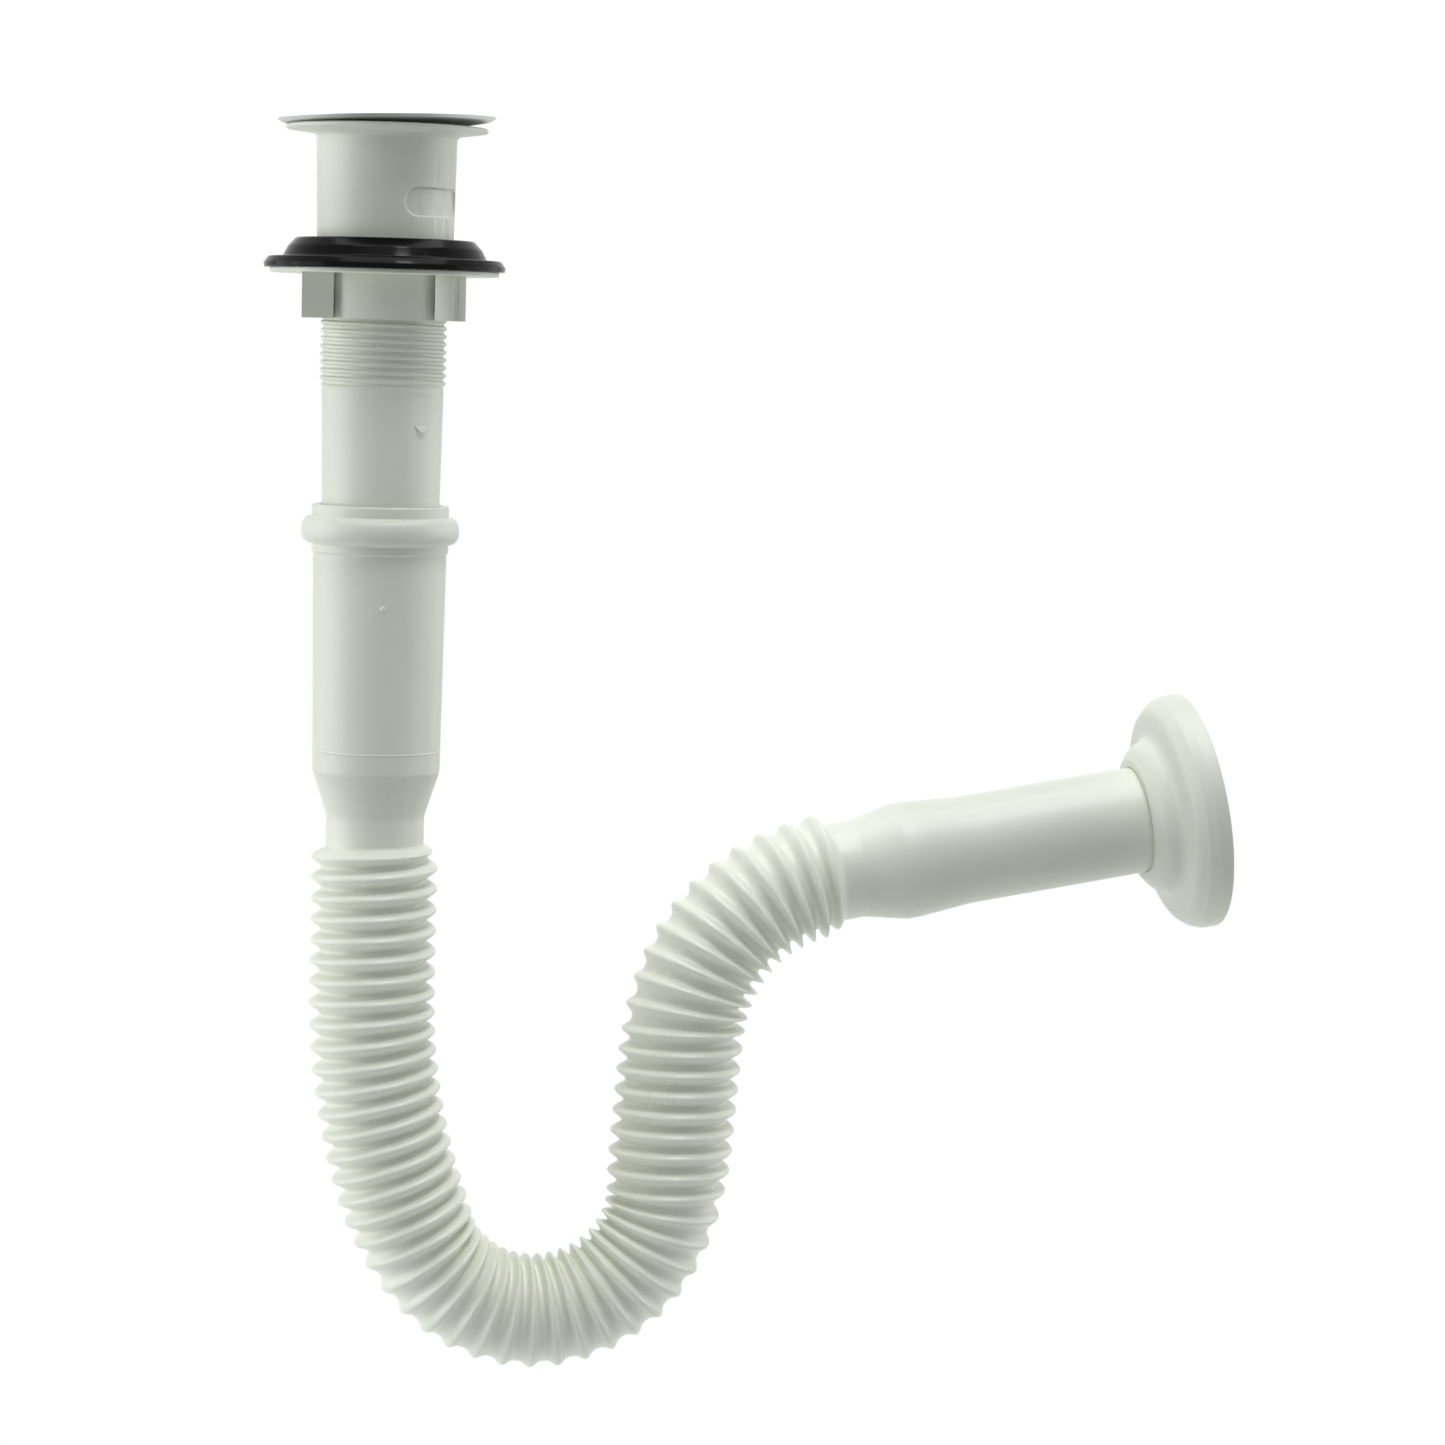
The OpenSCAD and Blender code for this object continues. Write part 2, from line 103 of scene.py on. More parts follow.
class Sheet:
    # a material's or world's node sheet, with one method that adds any node
    def __init__(self, tree):
        self.tree = tree

    def add(self, kind, settings=None, values=None, output=0):
        node = self.tree.nodes.new(kind)
        for key, value in (settings or {}).items():
            setattr(node, key, value)
        for key, value in (values or {}).items():
            if isinstance(value, Sock):
                self.tree.links.new(value.out, node.inputs[key])
            else:
                node.inputs[key].default_value = value
        return Sock(self.tree, node.outputs[output])

    def objectPlace(self):
        return self.add("ShaderNodeTexCoord", output="Object")

    def noise(self, place, scale, detail=3.0, roughness=0.5):
        values = {"Vector": place, "Scale": scale, "Detail": detail, "Roughness": roughness}
        return self.add("ShaderNodeTexNoise", None, values)

    def vectorMaths(self, kind, first, second=None, output=0):
        values = {0: first} if second is None else {0: first, 1: second}
        return self.add("ShaderNodeVectorMath", {"operation": kind}, values, output)

    def fade(self, factor, first, second):
        # either end is a plain colour or another node's
        ends = [end if isinstance(end, Sock) else (*end, 1) for end in (first, second)]
        return self.add("ShaderNodeMix", {"data_type": "RGBA"}, {0: factor, 6: ends[0], 7: ends[1]}, output=2)

    def stretch(self, place, scale):
        return self.add("ShaderNodeMapping", None, {"Vector": place, "Scale": scale})

    def bump(self, height, strength, distance):
        values = {"Height": height, "Strength": strength, "Distance": distance}
        return self.add("ShaderNodeBump", None, values)


def newFinish(name):
    material = bpy.data.materials.new(name)
    material.use_nodes = True
    tree = material.node_tree
    shader = tree.nodes["Principled BSDF"]
    return material, Sheet(tree), shader


def wire(shader, **sockets):
    # numbers and colours go straight on the shader, links come from the sheet
    for key, value in sockets.items():
        socket = shader.inputs[key.replace("_", " ")]
        if isinstance(value, Sock):
            value.tree.links.new(value.out, socket)
        else:
            socket.default_value = value


plasticTone = {
    "light": (0.75, 0.78, 0.69),
    "deep": (0.705, 0.735, 0.645),
    "cloudScale": 22.0,
    "grainScale": 900.0,
    "flowScale": 160.0,
    "roughness": 0.38,
    "grainDepth": 0.00003,
}
hoseTone = {
    "light": (0.84, 0.885, 0.785),
    "deep": (0.80, 0.835, 0.73),
    "cloudScale": 14.0,
    "streakScale": 60.0,
    "grainScale": 700.0,
    "roughness": 0.3,
    "seamPlace": 0.06,
    "seamWidth": 0.0035,
    "grainDepth": 0.00012,
}


def plasticFinish(name, tone, hoseEnd=None):
    # hoseEnd is (place, direction, length): the hose's paler tone fades out along it
    material, sheet, shader = newFinish(name)
    place = sheet.objectPlace()
    cloud = sheet.noise(place, tone["cloudScale"], 4.0, 0.55)
    grain = sheet.noise(place, tone["grainScale"], 2.0)
    # the melt leaves long upright streaks
    flow = sheet.noise(sheet.stretch(place, (1, 1, 0.08)), tone["flowScale"], 3.0)
    mottled = (cloud * 0.75 + flow * 0.25).clamp()
    colour = sheet.fade(mottled, tone["deep"], tone["light"])
    if hoseEnd:
        start, heading, length = hoseEnd
        offset = sheet.vectorMaths("SUBTRACT", place, start)
        along = sheet.vectorMaths("DOT_PRODUCT", offset, heading, output="Value")
        pale = sheet.fade(mottled, hoseTone["deep"], hoseTone["light"])
        colour = sheet.fade((along / length).clamp(), pale, colour)
    wire(
        shader,
        Base_Color=colour,
        Roughness=(cloud - 0.5) * 0.12 + (grain - 0.5) * 0.03 + tone["roughness"],
        Normal=sheet.bump(grain * 0.2 + flow * 0.8, 0.04, tone["grainDepth"]),
        IOR=1.49,
    )
    return material


def hoseFinish(name, tone):
    material, sheet, shader = newFinish(name)
    place = sheet.objectPlace()
    uv = sheet.add("ShaderNodeTexCoord", output="UV")
    around = sheet.add("ShaderNodeSeparateXYZ", None, {0: uv})
    cloud = sheet.noise(place, tone["cloudScale"], 5.0, 0.6)
    streak = sheet.noise(sheet.stretch(uv, (tone["streakScale"], 1.2, 1)), 1.0, 3.0)
    grain = sheet.noise(place, tone["grainScale"], 2.0)
    # the two halves of the blow mould leave a fine line down each side
    half = (around.maths("FRACT") * 2.0).maths("FRACT")
    seam = (1 - (half - tone["seamPlace"]).maths("ABSOLUTE") / tone["seamWidth"]).clamp()
    wire(
        shader,
        Base_Color=sheet.fade((cloud * 0.7 + streak * 0.3).clamp(), tone["deep"], tone["light"]),
        Roughness=(cloud - 0.5) * 0.14 + (grain - 0.5) * 0.06 + tone["roughness"],
        Normal=sheet.bump(seam * 0.8 + streak * 0.25 + grain * 0.12, 0.5, tone["grainDepth"]),
        IOR=1.5,
    )
    return material


gasketTone = {
    "dull": (0.0008, 0.0008, 0.0008),
    "worn": (0.0025, 0.0026, 0.0025),
    "roughness": 0.15,
    "sheen": 0.075,
}
sealTone = {
    "dull": (0.02, 0.02, 0.02),
    "worn": (0.045, 0.045, 0.044),
    "roughness": 0.55,
    "sheen": 0.4,
}


def rubberFinish(name, tone):
    material, sheet, shader = newFinish(name)
    place = sheet.objectPlace()
    cloud = sheet.noise(place, 45.0, 5.0, 0.6)
    dust = sheet.noise(place, 420.0, 2.0)
    wire(
        shader,
        Base_Color=sheet.fade((cloud * 0.6 + dust * 0.4).clamp(), tone["dull"], tone["worn"]),
        Roughness=(cloud - 0.5) * 0.22 + (dust - 0.5) * 0.08 + tone["roughness"],
        Normal=sheet.bump(dust * 0.5 + cloud * 0.5, 0.3, 0.00006),
        Specular_IOR_Level=tone["sheen"],
    )
    return material


dishTone = {
    "bright": (0.64, 0.655, 0.635),
    "dark": (0.40, 0.41, 0.395),
    "roughness": 0.5,
}
screwTone = {
    "bright": (0.66, 0.67, 0.66),
    "dark": (0.47, 0.48, 0.48),
    "roughness": 0.24,
}
steelGrain = {
    "ringsPerMetre": 5200.0,
    "smearScale": 60.0,
    "paintedRimLightFrom": 0.031,  # the dish's rim and its painted brighter reflection start here, and the screw lies inside it
    "paintedRimLightSoftness": 0.002,
}


def steelFinish(name, tone):
    # the sheet was polished on a lathe, so fine rings lie round the waste's axis
    material, sheet, shader = newFinish(name)
    place = sheet.objectPlace()
    flat = sheet.vectorMaths("MULTIPLY", place, (1, 1, 0))
    radius = sheet.vectorMaths("LENGTH", flat, output="Value")
    reading = {"W": radius * steelGrain["ringsPerMetre"], "Scale": 1.0, "Detail": 4.0}
    rings = sheet.add("ShaderNodeTexNoise", {"noise_dimensions": "1D"}, reading)
    smear = sheet.noise(place, steelGrain["smearScale"], 4.0)
    # painted reflection: the rim's base colour is made brighter than the face's, standing in for the light
    # that its underside reflects
    rim = ((radius - steelGrain["paintedRimLightFrom"]) / steelGrain["paintedRimLightSoftness"]).clamp()
    wire(
        shader,
        Base_Color=sheet.fade((rings * 0.2 + smear * 0.2 + rim * 0.6).clamp(), tone["dark"], tone["bright"]),
        Metallic=1.0,
        Roughness=(rings - 0.5) * 0.25 + (smear - 0.5) * 0.15 + tone["roughness"],
        Normal=sheet.bump(rings, 0.1, 0.00001),
    )
    return material


brassTone = {
    "bright": (0.72, 0.52, 0.24),
    "dark": (0.5, 0.34, 0.14),
    "roughness": 0.34,
}


def brassFinish(name, tone):
    material, sheet, shader = newFinish(name)
    smear = sheet.noise(sheet.objectPlace(), 120.0, 4.0)
    wire(
        shader,
        Base_Color=sheet.fade(smear, tone["dark"], tone["bright"]),
        Metallic=1.0,
        Roughness=(smear - 0.5) * 0.2 + tone["roughness"],
    )
    return material


whitePlastic = plasticFinish("whitePlastic", plasticTone)
hosePlastic = hoseFinish("hosePlastic", hoseTone)
gasketRubber = rubberFinish("gasketRubber", gasketTone)
sealRubber = rubberFinish("sealRubber", sealTone)
polishedSteel = steelFinish("polishedSteel", dishTone)
screwSteel = steelFinish("screwSteel", screwTone)
screwBrass = brassFinish("screwBrass", brassTone)
print("finishes mixed")


def letGo():
    if bpy.context.mode != "OBJECT":
        bpy.ops.object.mode_set(mode="OBJECT")
    bpy.ops.object.select_all(action="DESELECT")


def take(piece):
    letGo()
    piece.select_set(True)
    bpy.context.view_layer.objects.active = piece


def softened(corners, steps=5):
    # corners are (radius, height, rounding), in order round a closed section; each rounding becomes a curve
    outline = []
    for i, (radius, height, rounding) in enumerate(corners):
        here = Vector((radius, height))
        before = Vector(corners[i - 1][:2]) - here
        after = Vector(corners[(i + 1) % len(corners)][:2]) - here
        if rounding == 0:
            outline.append((radius, height))
            continue
        reach = min(rounding / tan(before.angle(after) / 2), 0.48 * before.length, 0.48 * after.length)
        start = here + before.normalized() * reach
        end = here + after.normalized() * reach
        for k in range(steps + 1):
            t = k / steps
            point = start * (1 - t) ** 2 + here * 2 * t * (1 - t) + end * t * t
            outline.append((point.x, point.y))
    return outline


def turned(name, outline, around=128, closed=True):
    # a ring is added at the first point, then extruded and scaled from point to point
    letGo()
    radius, height = outline[0]
    bpy.ops.mesh.primitive_circle_add(vertices=around, radius=radius * mm, location=(0, 0, height * mm))
    piece = bpy.context.object
    piece.name = name
    bpy.ops.object.transform_apply(location=True, rotation=True, scale=True)
    bpy.ops.object.mode_set(mode="EDIT")
    bpy.ops.mesh.select_all(action="SELECT")
    for nextRadius, nextHeight in outline[1:] + (outline[:1] if closed else []):
        share = nextRadius / radius
        bpy.ops.mesh.extrude_region_move(TRANSFORM_OT_translate={"value": (0, 0, (nextHeight - height) * mm)})
        bpy.ops.transform.resize(value=(share, share, 1), center_override=(0, 0, nextHeight * mm))
        radius, height = nextRadius, nextHeight
    bpy.ops.mesh.select_all(action="SELECT")
    bpy.ops.mesh.remove_doubles(threshold=0.000002)
    bpy.ops.mesh.fill_holes(sides=0)
    bpy.ops.mesh.normals_make_consistent(inside=False)
    letGo()
    return piece


def applied(piece, kind, **settings):
    take(piece)
    modifier = piece.modifiers.new(kind.lower(), kind)
    for key, value in settings.items():
        setattr(modifier, key, value)
    bpy.ops.object.modifier_apply(modifier=modifier.name)
    return piece


def carved(piece, cutter, way="DIFFERENCE"):
    applied(piece, "BOOLEAN", operation=way, solver="EXACT", object=cutter)
    bpy.data.objects.remove(cutter)
    return piece


def smoothed(piece, angle=32):
    take(piece)
    bpy.ops.object.shade_smooth_by_angle(angle=radians(angle))
    return piece


def fixed(piece):
    take(piece)
    bpy.ops.object.transform_apply(location=True, rotation=True, scale=True)
    return piece


def swung(piece, degrees):
    # round the waste's axis
    piece.rotation_euler = (0, 0, radians(degrees))
    return fixed(piece)


def copied(piece):
    # the copy has its own mesh
    take(piece)
    bpy.ops.object.duplicate()
    return bpy.context.object


def joined(first, *others):
    take(first)
    for other in others:
        other.select_set(True)
    bpy.ops.object.join()
    return first


def fitted(piece, finish, slot, body, *nodes):
    # a piece that is blended between two bodies has no body here
    piece.data.materials.clear()
    piece.data.materials.append(finish)
    if body:
        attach(piece, body)
    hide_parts(*nodes)
    print("made", piece.name, "with", len(piece.data.polygons), "faces")
    return piece


waste = {
    "flangeR": 32.2,
    "flangeT": 2.6,
    "flangeEdge": 1.4,
    "topR": 22.35,
    "lowR": 21.7,
    "bodyLength": 36.0,
    "boreR": 19.3,
    "seatR": 21.0,
    "threadR": 20.15,
    "threadRootR": 19.25,
    "threadPitch": 2.5,
    "threadLength": 45.0,
    "tailTopR": 19.45,
    "tailR": 18.85,
    "taperLength": 36.0,
    "tailBoreR": 16.8,
    "panelWidth": 28.0,
    "panelHeight": 9.7,
    "panelDepth": 0.875,
    "panelSlope": 1.3,
    "panelDrop": 21.5,
    "panelAngle": 45.0,
    "panelSoftness": 0.3,
    "toothFoot": 0.86,  # shares of the thread's pitch
    "toothTip": 0.3,
    "runOutFrom": 0.4,  # in turns
    "runOut": 0.9,
    "markAngle": 33.0,
    "markWidth": 4.4,
    "markHeight": 1.9,
    "markDrop": 10.8,
    "markTop": 0.15,
    "markRise": 1.2,
    "flatWidth": 11.0,
    "flatHeight": 13.0,
    "flatDepth": 0.35,
    "flatDrop": 0.8,
}
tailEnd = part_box("waste_body")[0].z / mm
threadTop = -waste["bodyLength"]
threadEnd = threadTop - waste["threadLength"]


def panelCutter():
    # a stadium is drawn flat with sloping walls, then wrapped round the body
    width, height = waste["panelWidth"] * mm, waste["panelHeight"] * mm
    surface = (waste["topR"] + waste["lowR"]) / 2 * mm
    floorR = surface - waste["panelDepth"] * mm
    slope, proud = waste["panelSlope"] * mm, 0.2 * mm
    low, rim, high = floorR - 0.6 * mm, surface + 0.3 * mm, surface + 12 * mm
    letGo()
    bpy.ops.mesh.primitive_circle_add(vertices=96, radius=height / 2, fill_type="NGON", location=(0, 0, 0))
    cutter = bpy.context.object
    for vertex in cutter.data.vertices:
        vertex.co.x += (1 if vertex.co.x > 0 else -1) * (width - height) / 2
    for edge in cutter.data.edges:
        first, second = (cutter.data.vertices[i].co for i in edge.vertices)
        edge.select = (first - second).length > height / 2
    bpy.ops.object.mode_set(mode="EDIT")
    bpy.ops.mesh.select_mode(type="EDGE")
    bpy.ops.mesh.subdivide(number_cuts=24)
    bpy.ops.mesh.select_all(action="SELECT")
    bpy.ops.transform.translate(value=(0, 0, low))
    bpy.ops.transform.resize(value=(1 - 2 * slope / width, 1 - 2 * slope / height, 1))
    bpy.ops.mesh.extrude_region_move(TRANSFORM_OT_translate={"value": (0, 0, rim - low)})
    share = [(side + 2 * proud) / (side - 2 * slope) for side in (width, height)]
    bpy.ops.transform.resize(value=(*share, 1), center_override=(0, 0, rim))
    bpy.ops.mesh.extrude_region_move(TRANSFORM_OT_translate={"value": (0, 0, high - rim)})
    letGo()
    for vertex in cutter.data.vertices:
        angle, radius = vertex.co.x / surface, vertex.co.z
        vertex.co = Vector((sin(angle) * radius, -cos(angle) * radius, vertex.co.y - waste["panelDrop"] * mm))
    take(cutter)
    bpy.ops.object.mode_set(mode="EDIT")
    bpy.ops.mesh.select_all(action="SELECT")
    bpy.ops.mesh.normals_make_consistent(inside=False)
    letGo()
    middle = (0, 0, -waste["panelDrop"] * mm)
    bpy.ops.mesh.primitive_cylinder_add(vertices=128, radius=floorR, depth=60 * mm, location=middle)
    return carved(cutter, fixed(bpy.context.object))


def softenPanels(body):
    # the recess's rim and the foot of its wall are rounded over
    take(body)
    bpy.ops.object.mode_set(mode="EDIT")
    bpy.ops.mesh.select_mode(type="EDGE")
    bpy.ops.mesh.select_all(action="DESELECT")
    bpy.ops.mesh.edges_select_sharp(sharpness=radians(20))
    bpy.ops.object.mode_set(mode="OBJECT")
    middle, reach = -waste["panelDrop"] * mm, (waste["panelHeight"] / 2 + 0.4) * mm
    insideR = (waste["boreR"] + waste["lowR"]) / 2 * mm
    for edge in body.data.edges:
        ends = [body.data.vertices[i].co for i in edge.vertices]
        inPanel = all(abs(end.z - middle) < reach and end.xy.length > insideR for end in ends)
        edge.select = edge.select and inPanel
    bpy.ops.object.mode_set(mode="EDIT")
    bpy.ops.mesh.bevel(offset=waste["panelSoftness"] * mm, segments=3, affect="EDGES", clamp_overlap=True)
    letGo()


def threadRidge():
    # one tooth's outline is wound down the body
    pitch = waste["threadPitch"] * mm
    rootR, topR = (waste["threadRootR"] - 0.3) * mm, waste["threadR"] * mm
    turns = int(waste["threadLength"] / waste["threadPitch"]) - 1
    letGo()
    bpy.ops.mesh.primitive_plane_add(size=1, location=(0, 0, 0), rotation=(pi / 2, 0, 0))
    tooth = bpy.context.object
    tooth.scale = (topR - rootR, pitch * waste["toothFoot"], 1)
    tooth.location = ((topR + rootR) / 2, 0, (threadTop - waste["threadPitch"]) * mm)
    fixed(tooth)
    bpy.ops.object.mode_set(mode="EDIT")
    bpy.ops.mesh.select_all(action="SELECT")
    bpy.ops.mesh.delete(type="ONLY_FACE")
    bpy.ops.mesh.select_all(action="DESELECT")
    bpy.ops.object.mode_set(mode="OBJECT")
    for vertex in tooth.data.vertices:
        vertex.select = vertex.co.x > (topR + rootR) / 2
    bpy.ops.object.mode_set(mode="EDIT")
    bpy.ops.transform.resize(value=(1, 1, waste["toothTip"]))
    bpy.ops.object.mode_set(mode="OBJECT")
    applied(
        tooth, "SCREW", axis="Z", angle=2 * pi, screw_offset=-pitch, iterations=turns,
        steps=128, render_steps=128, use_merge_vertices=True, merge_threshold=0.000001,
    )
    # the last turn at each end runs out into the core
    heights = [vertex.co.z for vertex in tooth.data.vertices]
    top, low = max(heights), min(heights)
    for vertex in tooth.data.vertices:
        turnsIn = min(top - vertex.co.z, vertex.co.z - low) / pitch - waste["runOutFrom"]
        share = max(0.0, min(1.0, turnsIn / waste["runOut"]))
        radius = vertex.co.xy.length
        vertex.co.xy *= (rootR + (radius - rootR) * share) / radius
    take(tooth)
    bpy.ops.object.mode_set(mode="EDIT")
    bpy.ops.mesh.select_all(action="SELECT")
    bpy.ops.mesh.fill_holes(sides=0)
    bpy.ops.mesh.normals_make_consistent(inside=False)
    letGo()
    return tooth


def mouldMark():
    # a small half-round stop stands out of the tail under the thread
    width, height = waste["markWidth"] * mm, waste["markHeight"] * mm
    letGo()
    bpy.ops.mesh.primitive_cylinder_add(vertices=48, radius=width / 2, depth=2 * mm, location=(0, 0, 0))
    mark = bpy.context.object
    mark.scale = (1, 2 * height / width, 1)
    fixed(mark)
    bpy.ops.object.mode_set(mode="EDIT")
    bpy.ops.mesh.select_all(action="SELECT")
    bpy.ops.mesh.bisect(plane_co=(0, 0, 0), plane_no=(0, 1, 0), clear_outer=True, use_fill=True)
    letGo()
    for vertex in mark.data.vertices:
        if vertex.co.z > 0:
            out = -vertex.co.y / height  # it ramps outwards from its top to its foot
            vertex.co.z = (waste["markTop"] + waste["markRise"] * out) * mm
    applied(mark, "BEVEL", width=0.15 * mm, segments=2, limit_method="ANGLE")
    mark.rotation_euler = (pi / 2, 0, 0)
    mark.location = (0, -(waste["tailTopR"] - 0.35) * mm, (threadEnd - waste["markDrop"]) * mm)
    return swung(fixed(mark), waste["markAngle"])


def tailFlat():
    # the mould leaves a shallow flat between the thread and the stop
    w = waste
    top = threadEnd - w["flatDrop"]
    letGo()
    bpy.ops.mesh.primitive_cube_add(size=1, location=(0, 0, 0))
    cutter = bpy.context.object
    cutter.scale = (w["flatWidth"] * mm, 4 * mm, w["flatHeight"] * mm)
    cutter.location = (0, -(w["tailTopR"] - w["flatDepth"] + 2) * mm, (top - w["flatHeight"] / 2) * mm)
    return swung(fixed(cutter), w["markAngle"])


def makeWasteBody():
    w = waste
    body = turned("wasteBody", softened([
        (w["boreR"], threadTop + 5, 0.8),
        (w["boreR"], -1, 0.3),
        (w["seatR"], -1, 0.2),
        (w["seatR"], 0.2, 0.3),
        (w["flangeR"] - 2.2, w["flangeT"], 1.0),
        (w["flangeR"] - 0.5, w["flangeT"], 0.4),
        (w["flangeR"], w["flangeT"] - 0.5, 0.4),
        (w["flangeR"] - 0.2, w["flangeT"] - w["flangeEdge"], 0.5),
        (w["topR"] + 1.2, 0.05, 0.6),
        (w["topR"], -0.9, 1.0),
        (w["lowR"], threadTop + 0.7, 0.4),
        (w["lowR"] - 0.7, threadTop, 0.3),
        (w["threadRootR"], threadTop - 0.2, 0.3),
        (w["threadRootR"], threadEnd + 1.2, 0.3),
        (w["tailTopR"], threadEnd, 0.5),
        (w["tailR"], threadEnd - w["taperLength"], 6.0),
        (w["tailR"], tailEnd + 1.2, 0.5),
        (w["tailR"] - 0.8, tailEnd, 0.3),
        (w["tailBoreR"], tailEnd, 0.3),
        (w["tailBoreR"], threadTop - 1, 0.8),
    ]))
    panel = panelCutter()
    for cutter, turn in ((copied(panel), 0), (panel, 180)):
        carved(body, swung(cutter, w["panelAngle"] + turn))
    carved(body, tailFlat())
    softenPanels(body)
    smoothed(body, 30)
    return joined(body, smoothed(threadRidge(), 40), smoothed(mouldMark(), 40))


screwCross = {
    "bossR": 6.7,
    "insertR": 4.35,
    "holeR": 3.35,
    "top": -9.8,
    "ledge": -19.8,
    "low": -22.4,
    "barLength": 39.2,
    "barWidth": 2.6,
    "barHeight": 7.0,
    "barMiddle": -18.9,
}


def bossAndBars():
    # the cross that holds the brass insert, under the dish
    c = screwCross
    boss = turned("screwBoss", softened([
        (c["insertR"], c["top"], 0.3),
        (c["bossR"], c["top"], 0.5),
        (c["bossR"], c["low"], 0.4),
        (c["holeR"], c["low"], 0.3),
        (c["holeR"], c["ledge"] - 0.2, 0.2),
        (c["insertR"], c["ledge"], 0.2),
    ]), 64)
    letGo()
    middle = (0, 0, c["barMiddle"] * mm)
    bpy.ops.mesh.primitive_cube_add(size=1, location=middle)
    bar = bpy.context.object
    bar.scale = (c["barLength"] * mm, c["barWidth"] * mm, c["barHeight"] * mm)
    applied(fixed(bar), "BEVEL", width=0.4 * mm, segments=3, limit_method="ANGLE")
    letGo()
    clearR = (c["bossR"] - 0.7) * mm  # the bars end inside the boss
    bpy.ops.mesh.primitive_cylinder_add(vertices=48, radius=clearR, depth=40 * mm, location=middle)
    smoothed(carved(bar, fixed(bpy.context.object)))
    return joined(smoothed(boss), bar, swung(copied(bar), 90))


fitted(joined(makeWasteBody(), bossAndBars()), whitePlastic, "white_plastic", "waste", "waste_body")


dish = {
    "rimR": 34.8,
    "bowlR": 18.0,
    "holeR": 3.4,
    "floor": -5.0,
    "sheet": 0.8,
    "foldHeight": 1.45,
    "lipR": 31.9,
    "lipHeight": 2.85,
    "rimHeight": 4.6,
    "slots": 8,
    "slotWidth": 2.8,
    "slotInner": 7.0,
    "slotOuter": 15.4,
    "tilt": 1.8,
}


def dishSlot():
    # a round cutter's outer half is drawn out, so the slot has round ends
    length = dish["slotOuter"] - dish["slotInner"]
    width = dish["slotWidth"]
    middle = (0, 0, dish["floor"] * mm)
    letGo()
    bpy.ops.mesh.primitive_cylinder_add(vertices=32, radius=width / 2 * mm, depth=6 * mm, location=middle)
    slot = swung(fixed(bpy.context.object), 180 / 32)
    bpy.ops.object.mode_set(mode="EDIT")
    bpy.ops.mesh.select_all(action="DESELECT")
    bpy.ops.object.mode_set(mode="OBJECT")
    for vertex in slot.data.vertices:
        vertex.select = vertex.co.x > 0
    bpy.ops.object.mode_set(mode="EDIT")
    bpy.ops.transform.translate(value=((length - width) * mm, 0, 0))
    bpy.ops.mesh.select_all(action="SELECT")
    bpy.ops.transform.translate(value=((dish["slotInner"] + width / 2) * mm, 0, 0))
    letGo()
    return slot


def makeDish():
    d = dish
    top = d["sheet"]
    piece = turned("strainerDish", softened([
        (d["holeR"], d["floor"], 0),
        (d["bowlR"], d["floor"], 1.6),
        (d["bowlR"], d["foldHeight"] - 0.6, 1.0),
        (d["lipR"], d["lipHeight"], 1.2),
        (d["lipR"] + 1.5, d["lipHeight"] + 0.35, 0.8),
        (d["rimR"] - 0.05, d["rimHeight"] - 0.35, 0.3),
        (d["rimR"] - 0.4, d["rimHeight"], 0.3),
        (d["lipR"] - 0.5, d["lipHeight"] + top, 1.6),
        (d["bowlR"] - top, d["foldHeight"] - 0.2 + top, 1.4),
        (d["bowlR"] - top, d["floor"] + top, 1.2),
        (d["holeR"], d["floor"] + top, 0),
    ], 7), 160)
    slot = dishSlot()
    for k in range(d["slots"]):
        carved(piece, swung(copied(slot), (k + 0.5) * 360 / d["slots"]))
    bpy.data.objects.remove(slot)
    smoothed(piece, 35)
    # it leans about the edge of the flange's top, on the side away from the outlet
    foot = Vector((-(waste["flangeR"] - 2) * mm, 0, waste["flangeT"] * mm))
    lean = Matrix.Rotation(radians(-d["tilt"]), 4, "Y")
    piece.data.transform(Matrix.Translation(foot) @ lean @ Matrix.Translation(-foot))
    return piece


fitted(makeDish(), polishedSteel, "dish_steel", "waste", "strainer_dish")


screw = {
    "headR": 6.0,
    "headT": 3.0,
    "edgeT": 0.9,
    "shankR": 2.92,
    "tip": 1.1,
    "slotLength": 7.6,
    "slotWidth": 1.5,
    "slotDepth": 1.5,
    "slotTurn": 34.3775,
}
screwEnd, screwTop = (corner.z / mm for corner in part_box("centre_screw"))


def makeScrew():
    s = screw
    under = screwTop - s["headT"]
    edgeTop, domeT = under + s["edgeT"], s["headT"] - s["edgeT"]
    domeTurn = [k * pi / 20 for k in range(1, 10)]
    piece = turned("centreScrew", [
        (s["shankR"] - s["tip"], screwEnd),
        (s["shankR"], screwEnd + s["tip"]),
        (s["shankR"], under),
        (s["headR"] - 0.3, under),
        (s["headR"], under + 0.3),
        (s["headR"], edgeTop),
        *((s["headR"] * cos(a), edgeTop + domeT * sin(a)) for a in domeTurn),
        (0.02, screwTop),
    ], 64, closed=False)
    letGo()
    bpy.ops.mesh.primitive_cube_add(size=1, location=(0, 0, screwTop * mm))
    slot = bpy.context.object
    slot.scale = (s["slotLength"] * mm, s["slotWidth"] * mm, 2 * s["slotDepth"] * mm)
    fixed(slot)
    for cutter, turn in ((copied(slot), 0), (slot, 90)):
        carved(piece, swung(cutter, s["slotTurn"] + turn))
    return smoothed(piece, 35)


fitted(makeScrew(), screwSteel, "screw_steel", "waste", "centre_screw")


gasket = {
    "brimR": 38.5,
    "brimT": 3.6,
    "coneTopR": 28.3,
    "coneFootR": 31.9,
    "boreR": 22.45,
}
gasketLow, gasketTop = (corner.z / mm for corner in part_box("gasket"))


